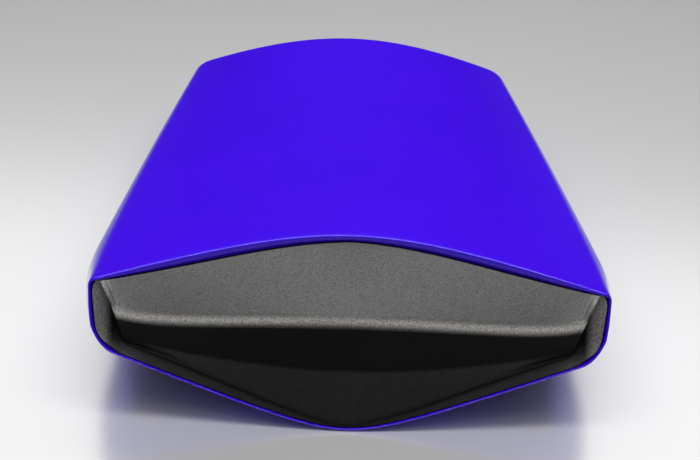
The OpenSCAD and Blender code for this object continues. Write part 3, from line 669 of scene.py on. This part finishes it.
def write_layer(piece, name, value):
    """A number for each point, which a finish reads by its name."""
    layer = piece.data.attributes.new(name, "FLOAT", "POINT")
    layer.data.foreach_set("value", value.astype(np.float32))
    print(piece.name, name, "from", round(float(value.min()), 2), "to", round(float(value.max()), 2))


def write_mist(piece):
    """Paint mist by the height above the lower edge."""
    x, y, z = places_of(piece)
    mist = 1 - np.clip((z - edge_z(y)) / MIST_MM, 0, 1)
    write_layer(piece, "mist", mist ** 2)


write_mist(shell)

# %% Ribs, bosses and lugs
ribs = patch_mesh("ribs_bosses_and_lugs", [(grid, FIRST) for grid in inside])
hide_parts("cowl_shell")
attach(ribs, BODY)
write_mist(ribs)

# %% [markdown]
# The pad's face is grained, and its borders, back and posts are bare. Two numbers are written on its
# mesh: painted light, a painted highlight along the ridge and painted light on the pad's ends, and how
# far each face is polished. They could be painted by hand, but they follow the form, so the ridge and
# the form lines say where they lie.

# %% Pad, its painted light and its polish
# Three of these set the size of a painted highlight along the ridge and of painted light on the pad's ends.
RIDGE_LIGHT_MM, LOW_POLISH, END_PAINTED_LIGHT, END_BLEND, MIDDLE_PAINTED_LIGHT = 4.5, 0.75, 0.4, 4.0, 0.8
RIDGE_ROW, FORM_ROW, RIM_ROW = 7, 4, 4
# How far before its line each change of polish starts, and over what height it runs, in millimetres.
RIDGE_FADE, FORM_FADE, RIM_FADE = (1.5, 3.0), (1.0, 3.0), (0.5, 2.0)
borders = [np.stack([pad_outer[i], pad_inner[i]]) for i in (0, -1)]
ends = [np.stack([pad_outer[:, i], pad_inner[:, i]]) for i in (0, -1)]
pad = patch_mesh("grained_pad", [(pad_outer, FIRST)]
                 + [(grid, SECOND) for grid in [pad_inner, *borders, *ends, *posts]])


def fade(beyond, start_and_run):
    """0 to 1 with the distance beyond a line."""
    start, run = start_and_run
    return ease((beyond + start) / run)


def write_painted_light_and_polish(piece):
    """A painted highlight along the ridge and painted light on the pad's ends, and how far hands and cloth have
    polished each face.
    """
    x, y, z = places_of(piece)
    lines = (ridge_rows[RIDGE_ROW], form_rows[FORM_ROW], rim_rows[RIM_ROW])
    (ridge_y, ridge_z), (_, form_z), (_, rim_z) = (
        [np.interp(x, line[:, 0], line[:, i]) for i in (1, 2)] for line in lines)
    end_x = keys[1][:, 0].max() * FACE_S
    end = np.clip((np.abs(x) - end_x) / END_BLEND, 0, 1)
    near = ease(1 - np.hypot(y - ridge_y, z - ridge_z) / RIDGE_LIGHT_MM)
    # Painted highlight along the ridge, fainter in the middle, and painted light over the pad's ends.
    rub = near * (1 - end) * mix(MIDDLE_PAINTED_LIGHT, 1, np.abs(x) / x.max()) + END_PAINTED_LIGHT * end
    polish = mix(LOW_POLISH * fade(form_z - z, FORM_FADE), 1, np.maximum(fade(z - ridge_z, RIDGE_FADE), end))
    write_layer(piece, "rub", rub)
    write_layer(piece, "polish", mix(polish, 1, fade(rim_z - z, RIM_FADE)))


write_painted_light_and_polish(pad)
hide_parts("front_pad")
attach(pad, BODY)

# %% [markdown]
# ## Finishes: wires, nodes and a finish
# Shader maths reads best as a sum or a product. A wire stands for one output of a node, and adding
# or multiplying wires adds the Math node for it. Any other node is made by one method, from a type,
# its settings and its sockets' values; the room's light uses it too. A finish is a material with
# such a tree of nodes and a Principled shader. Nodes could be drawn by hand, but lines of code show
# every number in one place.

# %% Wire, nodes and finish


class Wire:
    """One output of a node, on which arithmetic adds Math nodes."""

    def __init__(self, owner, socket):
        self.owner, self.socket = owner, socket

    def math(self, operation, first, second):
        return self.owner.node("Math", {"operation": operation}, {0: first, 1: second})

    def __add__(self, other):
        return self.math("ADD", self, other)

    def __radd__(self, other):
        return self.math("ADD", other, self)

    def __sub__(self, other):
        return self.math("SUBTRACT", self, other)

    def __rsub__(self, other):
        return self.math("SUBTRACT", other, self)

    def __mul__(self, other):
        return self.math("MULTIPLY", self, other)

    def __rmul__(self, other):
        return self.math("MULTIPLY", other, self)


class Nodes:
    """A tree of nodes, which all come from one method."""

    def __init__(self, tree):
        self.tree = tree

    def node(self, kind, settings=None, values=None, out=0):
        """A node's type, its settings or a ramp's stops, and the values or links of its sockets."""
        made = self.tree.nodes.new("ShaderNode" + kind)
        for setting, value in (settings or {}).items():
            if setting == "stops":
                self.set_stops(made.color_ramp.elements, value)
            else:
                setattr(made, setting, value)
        for socket, value in (values or {}).items():
            self.feed(made, socket, value)
        return Wire(self, made.outputs[out])

    def set_stops(self, ramp, stops):
        """A new ramp has two stops, which become the outer ones."""
        for place, stop in ((0, stops[0]), (1, stops[-1])):
            ramp[place].position, ramp[place].color = stop
        for height, colour in stops[1:-1]:
            ramp.new(height).color = colour

    def feed(self, node, socket, value):
        if isinstance(value, Wire):
            self.tree.links.new(value.socket, node.inputs[socket])
        else:
            node.inputs[socket].default_value = value


class Finish(Nodes):
    """A material with one Principled shader; steady numbers are set on its sockets."""

    def __init__(self, name, **steady):
        self.material = bpy.data.materials.new(name)
        self.material.use_nodes = True
        super().__init__(self.material.node_tree)
        self.shader = self.tree.nodes["Principled BSDF"]
        for socket, value in steady.items():
            self.shader.inputs[socket.replace("_", " ")].default_value = value
        self.place = self.node("TexCoord", out="Object")

    def noise(self, scale, detail=2.0, roughness=0.5, place=None, out="Fac"):
        return self.node("TexNoise", {}, {"Vector": place or self.place, "Scale": scale, "Detail": detail,
                                          "Roughness": roughness}, out)

    def spread(self, value, low, high, to_low=0.0, to_high=1.0):
        """A value between low and high, stretched and clamped to a new range."""
        return self.node("MapRange", {}, {"Value": value, "From Min": low, "From Max": high,
                                          "To Min": to_low, "To Max": to_high}, out="Result")

    def blend(self, share, one, other):
        """A colour between one and the other."""
        return self.node("Mix", {"data_type": "RGBA"}, {0: share, 6: one, 7: other}, out=2)

    def written(self, name):
        """A number that was written on the mesh."""
        return self.node("Attribute", {"attribute_name": name}, out="Fac")

    def dents(self, height, strength, distance):
        """Dents and grains in the surface, by a height."""
        values = {"Height": height, "Strength": strength, "Distance": distance}
        self.feed(self.shader, "Normal", self.node("Bump", {}, values, out="Normal"))

    def vary(self, socket, value):
        self.feed(self.shader, socket, value)

    def mottle(self, scale, smooth, rough):
        """A roughness that wanders between smooth and rough."""
        self.vary("Roughness", self.spread(self.noise(scale), 0.3, 0.7, smooth, rough))

    def tell(self):
        print(self.material.name, "has", len(self.tree.nodes), "nodes")


def tone(red, green, blue):
    return (red, green, blue, 1.0)


def grey(value):
    return tone(value, value, value)


def put_on(piece, *finishes):
    """A piece's finishes, in the order of their numbers."""
    for finish in finishes:
        piece.data.materials.append(finish.material)


print("finishes are ready to be mixed")

# %% [markdown]
# ## Gloss paint
# The colour is a deep violet blue under a clear lacquer. The lacquer is the shader's coat, almost a
# mirror. Sprayed paint is never quite flat: under the coat runs a faint orange peel, a ripple a few
# millimetres wide, and the pigment clouds a little. A flat colour would look like a plastic toy.

# %% Paint
PAINT, CLOUDED_PAINT = tone(0.056, 0.0002, 0.88), tone(0.051, 0.0002, 0.82)
paint = Finish("violet_blue_paint", Coat_Weight=1.0, Coat_Roughness=0.03, Coat_IOR=1.5, Specular_IOR_Level=0.05)
cloud = paint.spread(paint.noise(scale=14.0, detail=3.0), 0.3, 0.7)
flake = paint.noise(scale=2600.0, detail=1.0)
paint.vary("Base Color", paint.blend(cloud, CLOUDED_PAINT, PAINT))
paint.vary("Roughness", 0.26 + 0.08 * flake)
peel = paint.noise(scale=330.0, detail=1.5) + 0.35 * paint.noise(scale=900.0, detail=1.0)
paint.dents(peel, strength=0.35, distance=0.00012)
paint.tell()

# %% [markdown]
# ## Bare moulding and mist
# Inside, the moulding is left as it came from the tool: black, with a fine spark texture and faint
# flow marks. Near the lower edge it takes the paint's colour in small specks. They could be drawn
# as a mask, but noise added to the mist's number breaks its border up finely at any distance.

# %% Bare moulding
MOULDING, FLOW_MARK, PAINT_SPECK = tone(0.014, 0.014, 0.015), tone(0.02, 0.02, 0.021), tone(0.05, 0.004, 0.6)
bare = Finish("bare_moulding")
misted = bare.spread(bare.written("mist") + 0.5 * bare.noise(scale=1500.0), 0.55, 1.05)
flow = bare.spread(bare.noise(scale=9.0, detail=3.0), 0.35, 0.65)
bare.vary("Base Color", bare.blend(misted, bare.blend(flow, MOULDING, FLOW_MARK), PAINT_SPECK))
bare.mottle(700.0, 0.42, 0.6)
bare.dents(bare.noise(scale=1300.0, detail=3.0), strength=0.5, distance=0.0001)
bare.tell()
put_on(shell, paint, bare)
put_on(ribs, bare)

# %% [markdown]
# ## Grained pad
# The pad's tool is etched with a fine leather-like grain of cells under a millimetre wide. Hands and
# cloth polish the tops of the cells on the faces that they reach, which a rough coat on those tops
# stands for; the undercut face stays dull. A pale tone on the ridge is a painted highlight, and on
# the pad's ends it is painted light. Both are numbers written on the mesh. The cells come from a
# Voronoi pattern pushed about by noise, as clean cells look like scales.

# %% Grain
# The last colour is a pale tone for a painted highlight on the ridge and painted light on the pad's ends.
DULL, WORN, PAINTED_LIGHT_TONE = tone(0.005, 0.0049, 0.0048), tone(0.007, 0.0069, 0.0067), tone(0.74, 0.71, 0.68)
PUSH = (0.0012, 0.0012, 0.0012)
grain = Finish("black_grain", Specular_IOR_Level=0.06, Coat_Roughness=0.3, Coat_IOR=1.5)
wander = grain.noise(scale=500.0, out="Color")
pushed = grain.node("VectorMath", {"operation": "MULTIPLY_ADD"},
                    {0: wander, 1: PUSH, 2: grain.place}, out="Vector")
cells = grain.node("TexVoronoi", {"feature": "SMOOTH_F1"},
                   {"Vector": pushed, "Scale": 1300.0, "Smoothness": 0.35}, out="Distance")
pores = grain.noise(scale=1700.0, roughness=0.6)
grain.dents(cells + 0.8 * pores, strength=0.8, distance=0.0001)
wear = grain.spread(grain.noise(scale=22.0, detail=4.0), 0.35, 0.7)
tops = grain.spread(pores - 0.4 * cells, 0.15, 0.5)
# Painted highlight and painted light, speckled by the tops of the grain.
painted_light_share = grain.written("rub") * grain.spread(tops, 0.0, 1.0, 0.4, 1.0)
grain.vary("Base Color", grain.blend(painted_light_share, grain.blend(wear, DULL, WORN), PAINTED_LIGHT_TONE))
grain.vary("Coat Weight", grain.written("polish") * grain.spread(tops, 0.0, 1.0, 0.45, 0.9))
grain.vary("Roughness", 0.4 + 0.1 * wear)
grain.tell()
put_on(pad, grain, bare)

# %% [markdown]
# ## Metal and rubber
# The latch parts are hidden in use and plainly finished: satin steel plates with a rolled grain,
# bright zinc on the bolts and washers with a faint yellow bloom, brass inserts, and matt rubber.
# The solids are the right shape already, so only their materials and their shading change.

# %% Satin steel
DARK_STEEL, PALE_STEEL, DRAWN_OUT = tone(0.42, 0.43, 0.45), grey(0.6), (1.0, 14.0, 14.0)
steel = Finish("satin_steel", Metallic=1.0)
rolled = steel.node("VectorMath", {"operation": "MULTIPLY"}, {0: steel.place, 1: DRAWN_OUT}, out="Vector")
streak = steel.noise(scale=220.0, detail=3.0, place=rolled)
steel.vary("Base Color", steel.blend(streak, DARK_STEEL, PALE_STEEL))
steel.vary("Roughness", steel.spread(streak, 0.3, 0.7, 0.24, 0.42))
steel.dents(streak, strength=0.25, distance=0.00004)
steel.tell()

# %% Bright zinc
ZINC, YELLOW_BLOOM = tone(0.62, 0.64, 0.66), tone(0.68, 0.65, 0.53)
zinc = Finish("bright_zinc", Metallic=1.0)
bloom = zinc.spread(zinc.noise(scale=160.0, detail=3.0), 0.35, 0.65)
zinc.vary("Base Color", zinc.blend(bloom, ZINC, YELLOW_BLOOM))
zinc.mottle(500.0, 0.2, 0.34)
zinc.tell()

# %% Brass
AGED_BRASS, FRESH_BRASS = tone(0.56, 0.38, 0.15), tone(0.68, 0.5, 0.22)
brass = Finish("turned_brass", Metallic=1.0)
brass.vary("Base Color", brass.blend(brass.noise(scale=260.0), AGED_BRASS, FRESH_BRASS))
brass.mottle(900.0, 0.22, 0.38)
brass.tell()

# %% Matt rubber
RUBBER, CHALKED = grey(0.012), tone(0.035, 0.034, 0.033)
rubber = Finish("matt_rubber")
chalk = rubber.spread(rubber.noise(scale=60.0, detail=4.0), 0.4, 0.75)
rubber.vary("Base Color", rubber.blend(chalk, RUBBER, CHALKED))
rubber.mottle(400.0, 0.66, 0.86)
rubber.dents(rubber.noise(scale=1100.0), strength=0.3, distance=0.00008)
rubber.tell()

# %% Finishes on the solids
SMOOTH_ANGLE = 32
for finish, names in (
        (steel, ("striker_plate", "striker_loop", "rear_tongue")),
        (zinc, ("pad_screws", "pad_washers", "striker_bolts", "striker_washers", "tongue_bolts",
                "tongue_washers")),
        (brass, ("striker_inserts", "tongue_inserts")),
        (rubber, [name for name in nodes if name.startswith("damper")])):
    for name in names:
        nodes[name].data.materials.clear()
        put_on(nodes[name], finish)
kept = [node for node in nodes.values() if not node.hide_render]
for node in kept:
    with bpy.context.temp_override(object=node, active_object=node, selected_editable_objects=[node]):
        bpy.ops.object.shade_smooth_by_angle(angle=radians(SMOOTH_ANGLE))
print(len(kept), "solids keep their own shape")

# %% [markdown]
# ## Camera
# The camera stands in front of the cowl and looks down on it by 35 degrees. Its place and its lens
# were worked out from where the creases, corners and edges of the shell lie in the picture. Moving
# it by eye is quicker, but then a fault of form and a fault of view look alike.

# %% Camera
CAMERA_AT = Vector((-0.0165, -0.6962, 0.5074))
CAMERA_PITCH, CAMERA_YAW, CAMERA_ROLL = 35.1, -1.48, 2.68
FOCAL_PX, FRAME_PX, SENSOR_MM = 1300.0, 700.0, 36.0
camera_data = bpy.data.cameras.new("camera")
camera_data.sensor_width = SENSOR_MM
camera_data.lens = FOCAL_PX / FRAME_PX * SENSOR_MM
camera = in_scene("camera", camera_data)
turn = (Matrix.Rotation(radians(CAMERA_YAW), 4, "Z") @ Matrix.Rotation(radians(90 - CAMERA_PITCH), 4, "X")
        @ Matrix.Rotation(radians(CAMERA_ROLL), 4, "Z"))
camera.matrix_world = Matrix.Translation(CAMERA_AT) @ turn
bpy.context.scene.camera = camera
print("lens", round(camera_data.lens, 2), "mm")

# %% [markdown]
# ## Floor and light
# The cowl stands on a plain pale floor with a satin face, under studio light. A wide soft box
# stands high behind it, so that shadows fall forward. A second one hangs above the pad, because
# the pad's upper face mirrors it towards the camera and shows its grain, and a weaker one a little
# in front reaches the ridge. They are large and far off, because small lamps would burn hard white
# spots into the lacquer. The floor lies a hair below the cowl, so that no faces share a plane.

# %% Floor
FLOOR_HALF, FLOOR_DROP = 6.0, 0.0002
corners = [(x * FLOOR_HALF, y * FLOOR_HALF, 0) for x, y in ((-1, -1), (1, -1), (1, 1), (-1, 1))]
floor_mesh = bpy.data.meshes.new("floor")
floor_mesh.from_pydata(corners, [], [(0, 1, 2, 3)])
floor = in_scene("floor", floor_mesh)
floor.location.z = -FLOOR_DROP
pale = Finish("pale_floor", Roughness=0.24, Metallic=0.38)
pale.vary("Base Color", pale.blend(pale.noise(scale=3.0), grey(0.75), grey(0.79)))
pale.tell()
put_on(floor, pale)

# %% Lights


def soft_box(name, at, aim, wide, tall, watts):
    data = bpy.data.lights.new(name, "AREA")
    data.shape, data.size, data.size_y, data.energy = "RECTANGLE", wide, tall, watts
    lamp = in_scene(name, data)
    lamp.location = at
    lamp.rotation_euler = (Vector(aim) - Vector(at)).to_track_quat("-Z", "Y").to_euler()
    print(name, "is", round((Vector(aim) - Vector(at)).length, 2), "m away")


soft_box("back_box", at=(0.1, 0.9, 1.1), aim=(0.0, 0.0, 0.05), wide=2.6, tall=0.86, watts=8.6)
soft_box("top_box", at=(0.04, -0.13, 1.15), aim=(0.04, -0.13, 0.0), wide=1.4, tall=0.22, watts=8.5)
soft_box("front_strip", at=(0.04, -0.46, 1.13), aim=(0.04, -0.16, 0.05), wide=1.4, tall=0.24, watts=1.3)

# %% [markdown]
# The room is dim at the horizon, darkest just above it, and pale overhead. The roof's lacquer
# mirrors the dark band towards the camera, so its blue stays deep, while the pale ceiling fills
# the shadows. It is one gradient over the sky's height; an even sky would grey the roof.

# %% Room
# The sine of the height above the horizon, and how bright the room is there.
SKY = [(0.02, grey(0.08)), (0.25, grey(0.02)), (0.4, grey(0.03)), (0.52, grey(0.22)), (0.7, grey(0.34))]
world = bpy.data.worlds.new("room")
bpy.context.scene.world = world
world.use_nodes = True
room = Nodes(world.node_tree)
height = room.node("SeparateXYZ", {}, {0: room.node("TexCoord", out="Generated")}, out="Z")
shade = room.node("ValToRGB", {"stops": SKY}, {"Fac": height}, out="Color")
room.feed(world.node_tree.nodes["Background"], "Color", shade)
bpy.context.scene.view_settings.view_transform = "Standard"
print("the room has", len(SKY), "heights")

# %% [markdown]
# ## Sizes, and the end
# The visual model keeps to the solids' box, here to a fraction of a millimetre. The formulas are
# the same, but the fine mesh follows the curves where the solid has facets.

# %% The end: the scene brought up to date
bpy.context.view_layer.update()
